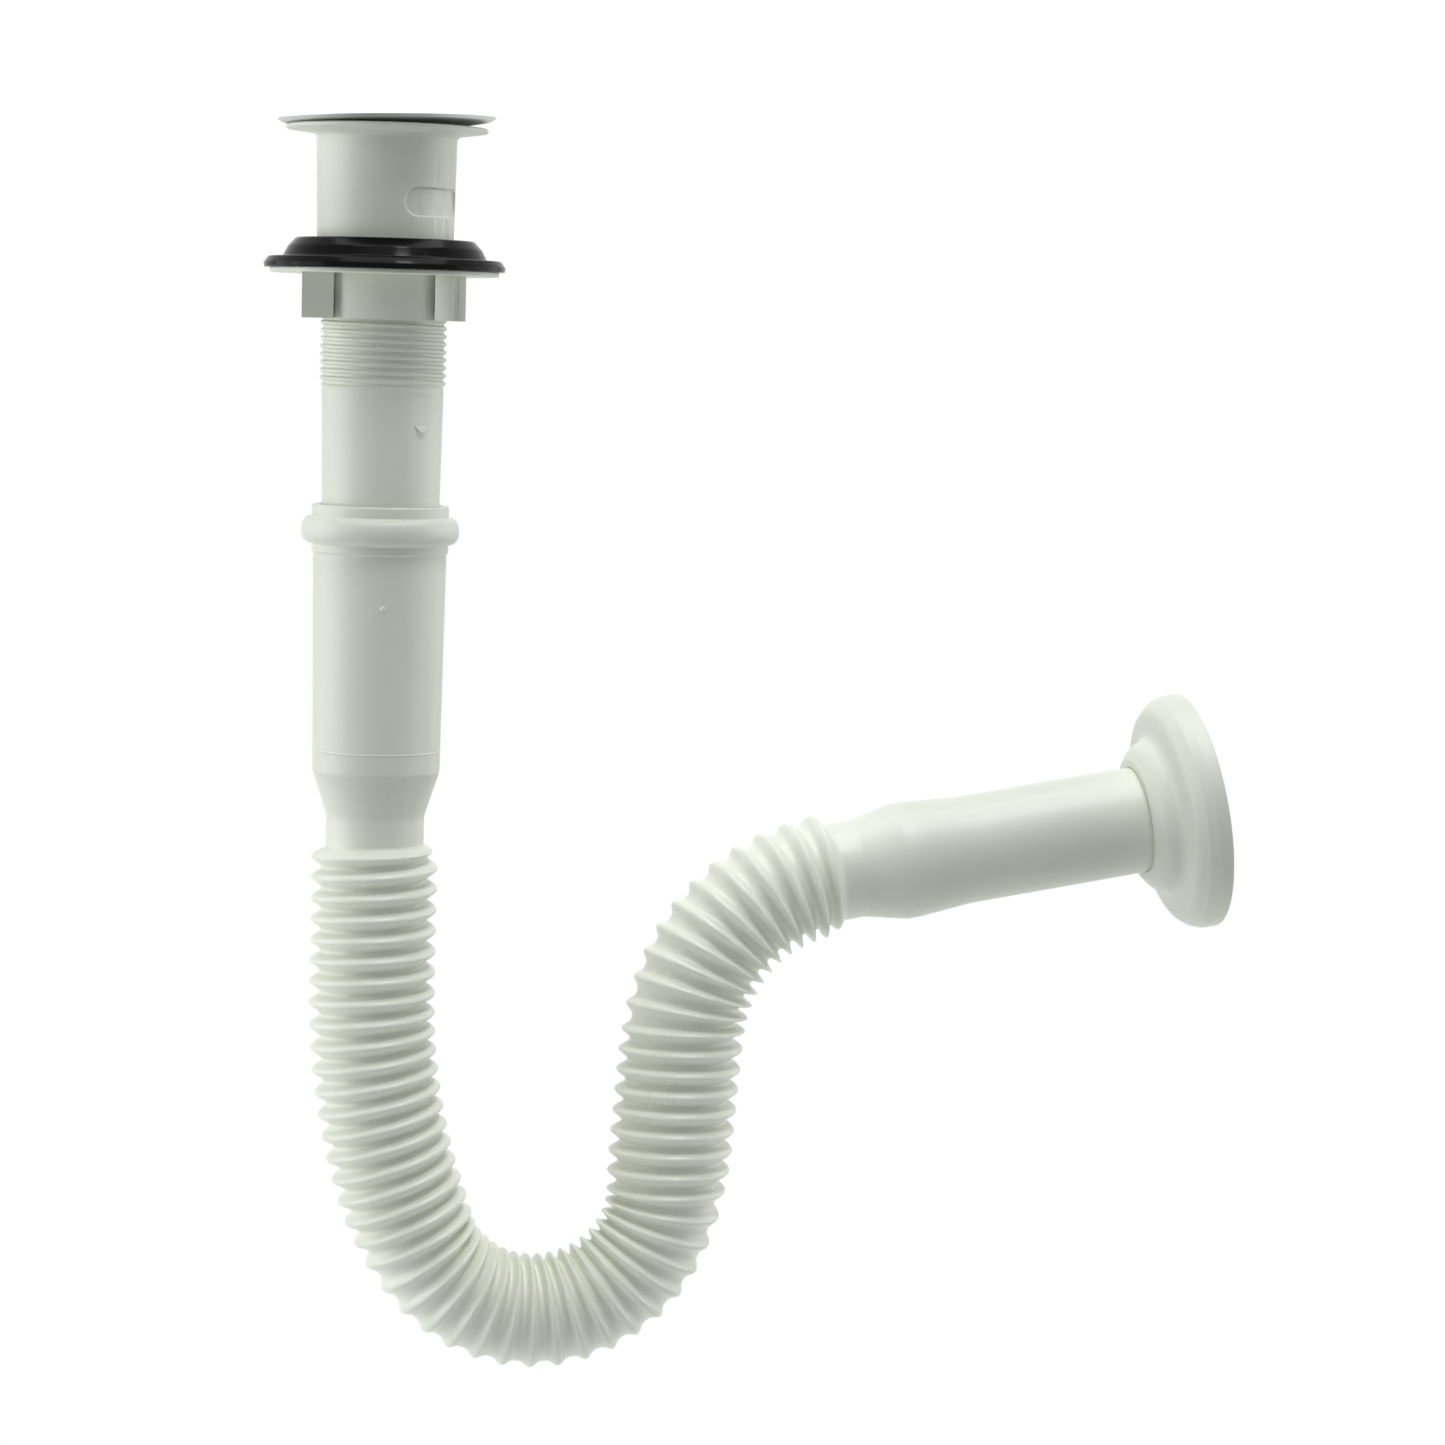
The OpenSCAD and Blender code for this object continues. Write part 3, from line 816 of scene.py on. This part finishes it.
def makeGasket():
    g = gasket
    brimTop = gasketLow + g["brimT"]
    return smoothed(turned("gasketRing", softened([
        (g["boreR"], gasketLow, 0.4),
        (g["brimR"] - 0.2, gasketLow, 0.5),
        (g["brimR"], gasketLow + 1.5, 0.9),
        (g["brimR"] - 1.5, brimTop, 0.9),
        (g["coneFootR"] + 0.8, brimTop - 0.2, 1.6),
        (g["coneFootR"] - 1.0, gasketTop - 2.8, 3.0),
        (g["coneTopR"], gasketTop, 1.6),
        (g["boreR"], gasketTop, 0.5),
    ], 7), 160), 40)


fitted(makeGasket(), gasketRubber, "black_rubber", "gasket", "gasket")


washer = {"radius": 36.5, "boreR": 20.5}
washerLow, washerTop = (corner.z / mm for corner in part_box("friction_washer"))


def makeWasher():
    w = washer
    return smoothed(turned("frictionWasher", softened([
        (w["boreR"], washerLow, 0.2),
        (w["radius"], washerLow, 0.4),
        (w["radius"], washerTop, 0.3),
        (w["boreR"], washerTop, 0.2),
    ], 4), 160))


fitted(makeWasher(), whitePlastic, "white_plastic", "washer", "friction_washer")


nut = {
    "radius": 22.5,
    "boreR": 20.23,
    "wingInner": 15.9,
    "wingReach": 25.8,
    "wingHalf": 19.0,
    "wingLead": [(15.9, -19.0), (21.7, -13.2), (21.9, -11.9), (23.3, -11.2), (23.5, -11.4), (25.8, -9.1)],
    "wingTurn": -6.4,
}
nutLow, nutTop = (corner.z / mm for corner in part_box("back_nut"))


def nutWing():
    # a wing's leading corner is cut back to a slope with two small steps
    outline = nut["wingLead"] + [(nut["wingReach"], nut["wingHalf"]), (nut["wingInner"], nut["wingHalf"])]
    letGo()
    bpy.ops.mesh.primitive_circle_add(vertices=len(outline), radius=mm, fill_type="NGON", location=(0, 0, 0))
    wing = bpy.context.object
    for vertex, (x, y) in zip(wing.data.vertices, outline):
        vertex.co = Vector((x, y, nutLow)) * mm
    bpy.ops.object.mode_set(mode="EDIT")
    bpy.ops.mesh.select_all(action="SELECT")
    bpy.ops.mesh.extrude_region_move(TRANSFORM_OT_translate={"value": (0, 0, (nutTop - nutLow) * mm)})
    bpy.ops.mesh.select_all(action="SELECT")
    bpy.ops.mesh.normals_make_consistent(inside=False)
    letGo()
    coreR, low, top = nut["boreR"] + 1, nutLow - 1, nutTop + 1
    return carved(wing, turned("nutCore", [(0.02, low), (coreR, low), (coreR, top), (0.02, top)], 96))


def makeNut():
    n = nut
    inner, outer = n["boreR"], n["radius"]
    barrel = turned("backNut", [(inner, nutLow), (outer, nutLow), (outer, nutTop), (inner, nutTop)], 144)
    wing = nutWing()
    for part, turn in ((copied(wing), 0), (wing, 180)):
        carved(barrel, swung(part, n["wingTurn"] + turn), "UNION")
    applied(barrel, "BEVEL", width=0.3 * mm, segments=3, limit_method="ANGLE", angle_limit=radians(28))
    return smoothed(barrel, 34)


fitted(makeNut(), whitePlastic, "white_plastic", "nut", "back_nut")


cuff = {
    "mouthRise": 2.4,
    "mouthR": 21.95,
    "mouthHeight": 3.8,
    "beadR": 25.3,
    "beadHeight": 8.6,
    "stepHeight": 3.2,
    "stepR": 21.9,
    "sleeveTopR": 21.4,
    "sleeveLowR": 20.5,
    "sleeveLength": 70.0,
    "coneLength": 14.6,
    "neckR": 15.8,
    "boreR": 19.3,
    "wall": 1.3,
    "pipR": 0.95,
    "pipDrop": 16.5,
    "pipAngle": -2.8,
    "toneFade": 24.0,
}
cuffEnd, cuffTop = (corner.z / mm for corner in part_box("cuff"))


def makeCuff():
    c = cuff
    mouthTop = cuffTop + c["mouthRise"]
    beadTop = mouthTop - c["mouthHeight"]
    beadLow = beadTop - c["beadHeight"]
    sleeveTop = beadLow - c["stepHeight"]
    sleeveLow = sleeveTop - c["sleeveLength"]
    neckTop = sleeveLow - c["coneLength"]
    beadOut = c["beadR"] - c["mouthR"]
    bead = []
    for turn in (k * pi / 18 for k in range(1, 18)):
        height = beadTop - c["beadHeight"] * (1 - cos(turn)) / 2
        bead.append((c["mouthR"] + beadOut * sin(turn) ** 0.75, height, 0))
    piece = turned("slipCuff", softened([
        (c["boreR"], mouthTop, 0.4),
        (c["mouthR"], mouthTop, 0.8),
        (c["mouthR"], beadTop, 0.6),
        *bead,
        (c["stepR"], beadLow, 0.5),
        (c["stepR"], sleeveTop + 0.7, 0.4),
        (c["sleeveTopR"], sleeveTop, 0.4),
        (c["sleeveLowR"] + 0.06, sleeveLow + 7.2, 0.3),
        (c["sleeveLowR"] + 0.22, sleeveLow + 6.7, 0.3),
        (c["sleeveLowR"] + 0.05, sleeveLow + 6.2, 0.3),
        (c["sleeveLowR"], sleeveLow, 5.0),
        (c["neckR"], neckTop, 7.0),
        (c["neckR"], cuffEnd, 0),
        (c["neckR"] - c["wall"], cuffEnd, 0),
        (c["neckR"] - c["wall"], neckTop, 5.0),
        (c["boreR"] - 0.1, sleeveLow, 3.0),
    ], 8), 144)
    smoothed(piece, 34)
    # the moulding gate leaves a pip on the sleeve
    letGo()
    middle = (0, -(c["sleeveTopR"] - 0.25) * mm, (sleeveTop - c["pipDrop"]) * mm)
    bpy.ops.mesh.primitive_uv_sphere_add(segments=24, ring_count=12, radius=c["pipR"] * mm, location=middle)
    pip = bpy.context.object
    pip.scale = (1, 0.6, 1)
    swung(fixed(pip), c["pipAngle"])
    return joined(piece, smoothed(pip, 60))


cuffFade = ((0, 0, cuffEnd * mm), (0, 0, 1), cuff["toneFade"] * mm)
cuffPlastic = plasticFinish("cuffPlastic", plasticTone, cuffFade)
fitted(makeCuff(), cuffPlastic, "hose_plastic", "inlet_hose", "cuff")


hose = {
    "pitch": 6.8,
    "rootR": 17.0,
    "crestR": 20.4,
    "bore": 15.7,
    "legTurns": 7,
    "sweepTurns": 12,
    "sweepR": 208.6,
    "trapTurns": 17,
    "trapR": 43.2,
    "riserTurns": 8,
    "topTurns": 11,
    "topR": 56.4,
    "plainEnd": 4.0,
    "ridgeStart": (-2.4, 0.8),  # counted from the hose's top
    "neckStart": (-1.6, 2.0),
    "ridgeEnd": (-1.0, 4.5),  # counted from the hose's end
    "neckEnd": (0.0, 4.0),
    "firstCrest": -1.2,
    "crestFullness": 0.85,
    "stretchedCrest": 1.0,
    "finCrest": 1.1,
    "finDepth": 0.12,
    "trapSqueeze": 0.06,
    "trapFlatten": 0.38,
    "topFlatten": 0.3,
    "thinnestWall": 0.9,
    "rowsPerTurn": 12,
    "innerRowsPerTurn": 3,
    "around": 112,
    "topTuck": 3.0,
    "endTuck": 5.5,
    "flexFrom": 5,
    "flexTo": 12,
}
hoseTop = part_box("hose_leg")[1].z / mm
stretches = [
    # name, turns, bend radius, and the side it bends to: 1 up towards the outlet, -1 back down, 0 straight
    ("leg", hose["legTurns"], 0, 0),
    ("sweep", hose["sweepTurns"], hose["sweepR"], 1),
    ("trap", hose["trapTurns"], hose["trapR"], 1),
    ("riser", hose["riserTurns"], 0, 0),
    ("top", hose["topTurns"], hose["topR"], -1),
]


def span(name):
    # where a stretch starts and ends, in millimetres along the hose
    start = 0.0
    for stretchName, turns, radius, side in stretches:
        end = start + turns * hose["pitch"]
        if stretchName == name:
            return start, end
        start = end


topStart, hoseLength = span("top")


def routeAt(s):
    # (x, z, heading) of the hose's middle line, s millimetres from its top; it runs straight past both ends
    x, z, heading = 0.0, hoseTop, -pi / 2
    left = s
    for name, turns, radius, side in stretches:
        way = min(left, turns * hose["pitch"])
        if side == 0:
            x, z = x + way * cos(heading), z + way * sin(heading)
        else:
            turn = heading + side * way / radius
            x += side * radius * (sin(turn) - sin(heading))
            z -= side * radius * (cos(turn) - cos(heading))
            heading = turn
        left -= way
        if left <= 0:
            return x, z, heading
    return x + left * cos(heading), z + left * sin(heading), heading


def ease(value, low, high):
    t = max(0.0, min(1.0, (value - low) / (high - low)))
    return t * t * (3 - 2 * t)


def within(s, name, soft=14.0):
    # 1 inside a stretch, fading to 0 past its ends
    start, end = span(name)
    return ease(s, start - soft, start + soft) * (1 - ease(s, end - soft, end + soft))


def hoseRadius(s, angle):
    # the ridge is one long right-hand winding; angle is 0 towards the trap's inner side
    wave = 0.5 + 0.5 * cos(2 * pi * ((s - hose["firstCrest"]) / hose["pitch"]) + angle)
    past = s - hoseLength
    ends = ease(s, *hose["ridgeStart"]) * (1 - ease(past, *hose["ridgeEnd"]))
    outer = 0.5 - 0.5 * cos(angle)
    inner = 0.5 + 0.5 * cos(angle)
    depth = (hose["crestR"] - hose["rootR"]) * ends
    depth *= 1 - hose["trapFlatten"] * within(s, "trap") * outer
    depth *= 1 - hose["topFlatten"] * within(s, "top") * inner
    neck = cuff["neckR"] + (hose["rootR"] - cuff["neckR"]) * ease(s, *hose["neckStart"])
    neck += (outlet["neckR"] - hose["rootR"]) * ease(past, *hose["neckEnd"])
    # a stretched side has wider valleys, and the top bend's short side stands up in thin fins
    apart = within(s, "trap") * outer + within(s, "top") * inner
    fins = within(s, "top") * outer
    fullness = hose["crestFullness"] + hose["stretchedCrest"] * apart + hose["finCrest"] * fins
    return neck + depth * (1 + hose["finDepth"] * fins) * wave ** fullness


def hosePoint(s, angle, radius):
    x, z, heading = routeAt(s)
    reach = radius * cos(angle) * (1 - hose["trapSqueeze"] * within(s, "trap"))
    return Vector((x - sin(heading) * reach, radius * sin(angle), z + cos(heading) * reach)) * mm


def makeHose(name, start, end):
    # a flat grid is rolled into a tube: up the ridged outside, back down the plain inside, and closed
    length = end - start
    outerRows = round(length / hose["pitch"] * hose["rowsPerTurn"])
    innerRows = round(length / hose["pitch"] * hose["innerRowsPerTurn"])
    rows = outerRows + innerRows + 2
    letGo()
    around = hose["around"]
    bpy.ops.mesh.primitive_grid_add(x_subdivisions=around, y_subdivisions=rows, size=1, location=(0, 0, 0))
    piece = bpy.context.object
    piece.name = name
    for vertex in piece.data.vertices:
        angle = (vertex.co.x + 0.5) * 2 * pi
        row = round((vertex.co.y + 0.5) * rows)
        if row <= outerRows:
            s = start + length * row / outerRows
        else:
            s = end - length * min(1.0, (row - outerRows - 1) / innerRows)
        radius = hoseRadius(s, angle)
        if outerRows < row < rows:
            radius = min(hose["bore"], radius - hose["thinnestWall"])
        vertex.co = hosePoint(s, angle, radius)
    take(piece)
    bpy.ops.object.mode_set(mode="EDIT")
    bpy.ops.mesh.select_all(action="SELECT")
    bpy.ops.mesh.remove_doubles(threshold=0.000001)
    bpy.ops.mesh.normals_make_consistent(inside=False)
    letGo()
    return piece


outlet = {
    "neckR": 16.1,
    "neckLength": 7.0,
    "flareLength": 14.0,
    "bulgeR": 19.3,
    "bulgeLength": 4.6,
    "taperLength": 17.8,
    "pipeR": 17.8,
    "pipeLength": 86.5,
    "spigotR": 17.5,
    "spigotLength": 15.0,
    "wall": 1.9,
    "neckWall": 1.3,
    "toneFade": 30.0,
}
riserMiddle = sum(span("riser")) / 2
flexStart, flexEnd = (span("trap")[0] + hose[turns] * hose["pitch"] for turns in ("flexFrom", "flexTo"))


def onRoute(s):
    x, z, heading = routeAt(s)
    return Vector((x, 0, z)) * mm


inletHose = smoothed(makeHose("hoseInlet", -hose["topTuck"], riserMiddle), 60)
outletHose = smoothed(makeHose("hoseOutlet", riserMiddle, hoseLength + hose["endTuck"]), 60)
inletNodes = ("hose_leg", "trap_bend_inlet", "trap_bend_flex", "trap_bend_outlet")
fitted(inletHose, hosePlastic, "hose_plastic", None, *inletNodes)
fitted(outletHose, hosePlastic, "hose_plastic", None, "rising_leg", "top_bend")
onRoute(flexStart)
onRoute(flexEnd)
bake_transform(inletHose)
onRoute(topStart)
onRoute(hoseLength)
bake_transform(outletHose)

outletX, outletZ, outletHeading = routeAt(hoseLength)


def alongOutlet(piece):
    # a piece that was made upright is laid along the outlet
    piece.rotation_euler = (0, pi / 2 - outletHeading, 0)
    piece.location = Vector((outletX, 0, outletZ)) * mm
    return fixed(piece)


def makeOutletPipe():
    o = outlet
    neckStart = hose["plainEnd"]
    neckEnd = neckStart + o["neckLength"]
    flareEnd = neckEnd + o["flareLength"]
    bulgeEnd = flareEnd + o["bulgeLength"]
    taperEnd = bulgeEnd + o["taperLength"]
    pipeEnd = taperEnd + o["pipeLength"]
    piece = turned("outletPipe", softened([
        (o["neckR"], neckStart, 0),
        (o["neckR"], neckEnd, 8.0),
        (o["bulgeR"], flareEnd, 7.0),
        (o["bulgeR"], bulgeEnd, 7.0),
        (o["pipeR"], taperEnd, 16.0),
        (o["pipeR"], pipeEnd - o["spigotLength"] - 0.6, 0.3),
        (o["spigotR"], pipeEnd - o["spigotLength"], 0.3),
        (o["spigotR"], pipeEnd - 0.8, 0.5),
        (o["spigotR"] - 0.8, pipeEnd, 0.3),
        (o["pipeR"] - o["wall"], pipeEnd, 0.3),
        (o["pipeR"] - o["wall"], flareEnd, 6.0),
        (o["neckR"] - o["neckWall"], neckEnd, 6.0),
        (o["neckR"] - o["neckWall"], neckStart, 0),
    ], 10), 144)
    return smoothed(alongOutlet(piece), 34), pipeEnd


outletPipe, pipeEnd = makeOutletPipe()
outletWay = Vector((cos(outletHeading), 0, sin(outletHeading)))
outletFade = (onRoute(hoseLength + hose["plainEnd"]), outletWay, outlet["toneFade"] * mm)
outletPlastic = plasticFinish("outletPlastic", plasticTone, outletFade)
fitted(outletPipe, outletPlastic, "hose_plastic", "outlet", "outlet_pipe")


wallFlange = {
    "rimR": 39.6,
    "depth": 20.4,
    "boreR": 17.88,
    "wall": 1.6,
    "stub": 5.0,
}


def makeWallFlange():
    f = wallFlange
    wallPlane = pipeEnd - f["stub"]
    bore, rim, depth, wall = f["boreR"], f["rimR"], f["depth"], f["wall"]
    section = [
        (bore, depth, 0.3),
        (bore + 2.6, depth, 1.0),
        (bore + 6.8, depth - 3.0, 9.0),
        (bore + 8.8, depth - 8.0, 9.0),
        (rim - 4.2, 11.4, 20.0),
        (rim - 1.2, 7.6, 0.9),
        (rim - 0.1, 4.4, 1.6),
        (rim, 0, 0.4),
        (rim - wall, 0, 0.4),
        (rim - wall - 0.2, 4.2, 1.2),
        (rim - wall - 1.8, 7.4, 2.0),
        (rim - 6.2, 11.6 - wall, 2.0),
        (rim - 10.4, depth - 9.6 - wall, 2.0),
        (bore + 6.6, depth - 7.6 - wall, 1.6),
        (bore + wall, depth - 7 - wall, 0.6),
        (bore, depth - 7 - wall, 0.3),
    ]
    # heights are counted from the wall, back towards the hose
    outline = [(radius, wallPlane - height) for radius, height in softened(section, 8)]
    return smoothed(alongOutlet(turned("wallRosette", outline, 160)), 34)


fitted(makeWallFlange(), whitePlastic, "white_plastic", "flange", "wall_flange")

# the exact solids that stay in sight get their finish
for node, finish in (("dish_seal", sealRubber), ("lip_seal", sealRubber), ("threaded_insert", screwBrass)):
    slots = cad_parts[node].data.materials
    slots.clear()
    slots.append(finish)
print("seals and insert finished")


studio = {
    "floorDrop": 0.35,
    "floorSize": 9.0,
    "ambient": 0.03,
    "aim": (0.1, 0.0, -0.19),
    "softboxes": [
        # name, place, width, height, power
        ("leftBackSoftbox", (-1.3, 0.6, -0.1), 0.9, 1.5, 6.4),
        ("leftSoftbox", (-1.35, -0.1, -0.1), 0.9, 1.5, 9.8),
        ("rightBackSoftbox", (1.5, 0.6, -0.1), 0.9, 1.5, 4.3),
        ("rightSoftbox", (1.55, -0.2, -0.1), 0.9, 1.5, 5.5),
        ("topSoftbox", (0.1, 0.0, 1.1), 1.4, 1.0, 13.0),
        ("frontTopSoftbox", (0.1, -1.0, 0.9), 1.4, 0.9, 4.2),
        ("glintSoftbox", (0.25, -0.56, 1.11), 0.24, 0.24, 4.2),
    ],
}


def makeSoftbox(name, place, width, height, power):
    light = bpy.data.lights.new(name, "AREA")
    light.shape = "RECTANGLE"
    light.size, light.size_y, light.energy = width, height, power
    lamp = bpy.data.objects.new(name, light)
    bpy.context.scene.collection.objects.link(lamp)
    lamp.location = place
    lamp.rotation_euler = (Vector(studio["aim"]) - Vector(place)).to_track_quat("-Z", "Y").to_euler()


for softbox in studio["softboxes"]:
    makeSoftbox(*softbox)

letGo()
bpy.ops.mesh.primitive_plane_add(size=studio["floorSize"], location=(0, 0, cadBox[0].z - studio["floorDrop"]))
floor = bpy.context.object
floor.name = "studioFloor"


def backdropWhite(sheet, dull):
    # what the camera and glossy surfaces see is plain white, while diffuse light stays gentle
    path = sheet.add("ShaderNodeLightPath", output="Is Camera Ray")
    glossy = sheet.add("ShaderNodeLightPath", output="Is Glossy Ray")
    clear = sheet.add("ShaderNodeLightPath", output="Is Transmission Ray")
    seen = (path + glossy + clear).clamp()
    return seen * (1 - dull) + dull


def floorFinish():
    material, sheet, shader = newFinish("paleFloor")
    diffuse = sheet.add("ShaderNodeBsdfDiffuse", None, {"Color": (0.9, 0.9, 0.9, 1)})
    glow = sheet.add("ShaderNodeEmission", None, {"Color": (1, 1, 1, 1), "Strength": 1.0})
    mixed = sheet.add("ShaderNodeMixShader", None, {0: backdropWhite(sheet, 0.0), 1: diffuse, 2: glow})
    sheet.tree.links.new(mixed.out, sheet.tree.nodes["Material Output"].inputs["Surface"])
    sheet.tree.nodes.remove(shader)
    return material


floor.data.materials.append(floorFinish())

world = bpy.data.worlds.new("whiteTent")
bpy.context.scene.world = world
world.use_nodes = True
worldSheet = Sheet(world.node_tree)
background = world.node_tree.nodes["Background"]
background.inputs["Color"].default_value = (1, 1, 1, 1)
world.node_tree.links.new(backdropWhite(worldSheet, studio["ambient"]).out, background.inputs["Strength"])

camera = {
    "azimuth": -11.4,
    "elevation": 5.5,
    "roll": 1.5,
    "distance": 1.3,
    "aim": (0.1137, 0.0, -0.187),
    "lens": 98.7,
    "sensor": 36.0,
}


def makeCamera(c):
    azimuth, elevation, roll = (radians(c[key]) for key in ("azimuth", "elevation", "roll"))
    back = Vector((sin(azimuth) * cos(elevation), -cos(azimuth) * cos(elevation), sin(elevation)))
    right = Vector((0, 0, 1)).cross(back).normalized()
    up = back.cross(right)
    leanRight = right * cos(roll) + up * sin(roll)
    leanUp = up * cos(roll) - right * sin(roll)
    data = bpy.data.cameras.new("studioCamera")
    data.lens, data.sensor_width, data.sensor_height = c["lens"], c["sensor"], c["sensor"]
    shooter = bpy.data.objects.new("studioCamera", data)
    bpy.context.scene.collection.objects.link(shooter)
    turn = Matrix((leanRight, leanUp, back)).transposed().to_4x4()
    shooter.matrix_world = Matrix.Translation(Vector(c["aim"]) + back * c["distance"]) @ turn
    bpy.context.scene.camera = shooter


makeCamera(camera)
bpy.context.scene.view_settings.view_transform = "Standard"
print("studio lit")
